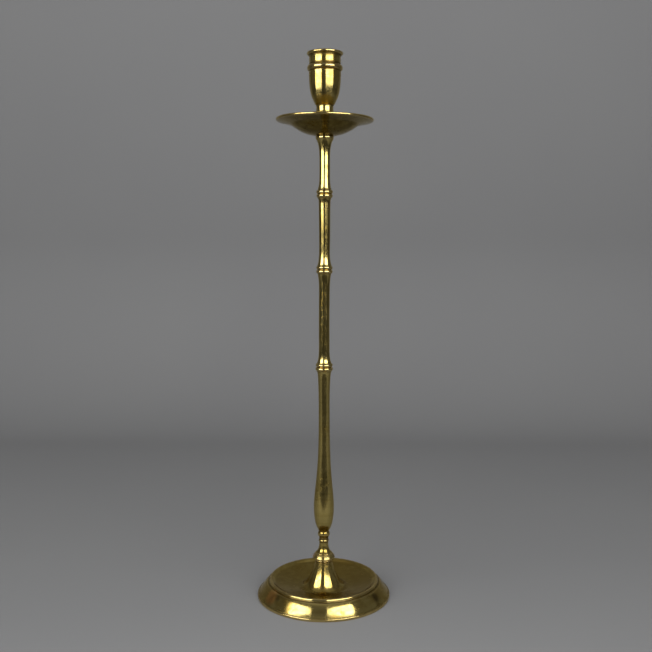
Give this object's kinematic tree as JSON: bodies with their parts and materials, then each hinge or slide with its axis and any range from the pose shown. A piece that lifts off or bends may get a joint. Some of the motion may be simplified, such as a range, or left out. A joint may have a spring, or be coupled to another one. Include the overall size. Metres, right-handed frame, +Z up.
{
  "type": "altar candlestick",
  "caption": "Tall slender turned candlestick: round dished base on a trumpet, stem with double-bead knops and a baluster, drip pan and candle cup that unscrews.",
  "frame": {"origin": "middle of the underside of the base, where it stands", "axes": "+Z up the stem; the stick is round about Z, so +X is any direction"},
  "size_m": [0.1244, 0.1244, 0.5],
  "materials": {
    "base_brass": "polished, aged, browned in the dish",
    "stem_brass": "polished, aged to olive",
    "pan_brass": "polished, aged",
    "cup_brass": "polished",
    "steel": "plain, dull",
    "load_iron": "as cast",
    "baize": "felted green baize",
    "washer_leather": "waxed leather"
  },
  "bodies": {
    "stem": {"base_shell": "base_brass", "load_disc": "load_iron", "base_washer": "steel", "base_nut": "steel", "baize_pad": "baize", "base_stud": "steel", "foot_collar": "stem_brass", "baluster": "stem_brass", "lower_knop_stud": "steel", "third_stem": "stem_brass", "middle_knop_stud": "steel", "second_stem": "stem_brass", "upper_knop_stud": "steel", "upper_stem": "stem_brass"},
    "pan": {"drip_pan": "pan_brass"},
    "washer": {"cup_washer": "washer_leather"},
    "cup": {"candle_cup": "cup_brass", "cup_stud": "steel"}
  },
  "joints": [
    {"name": "pan_turn", "type": "hinge", "parent": "stem", "child": "pan", "pos_m": [0, 0, 0.427], "axis": [0, 0, 1], "continuous": true},
    {"name": "cup_rise", "type": "slide", "parent": "stem", "child": "washer", "axis": [0, 0, 1], "range_m": [0, 0.0127]},
    {"name": "cup_unscrew", "type": "hinge", "parent": "washer", "child": "cup", "pos_m": [0, 0, 0.4292], "axis": [0, 0, 1], "range_deg": [0, 3600]}
  ],
  "couplings": [
    {"joint": "cup_rise", "follows": "cup_unscrew", "m_per_rad": 0.00020213}
  ]
}
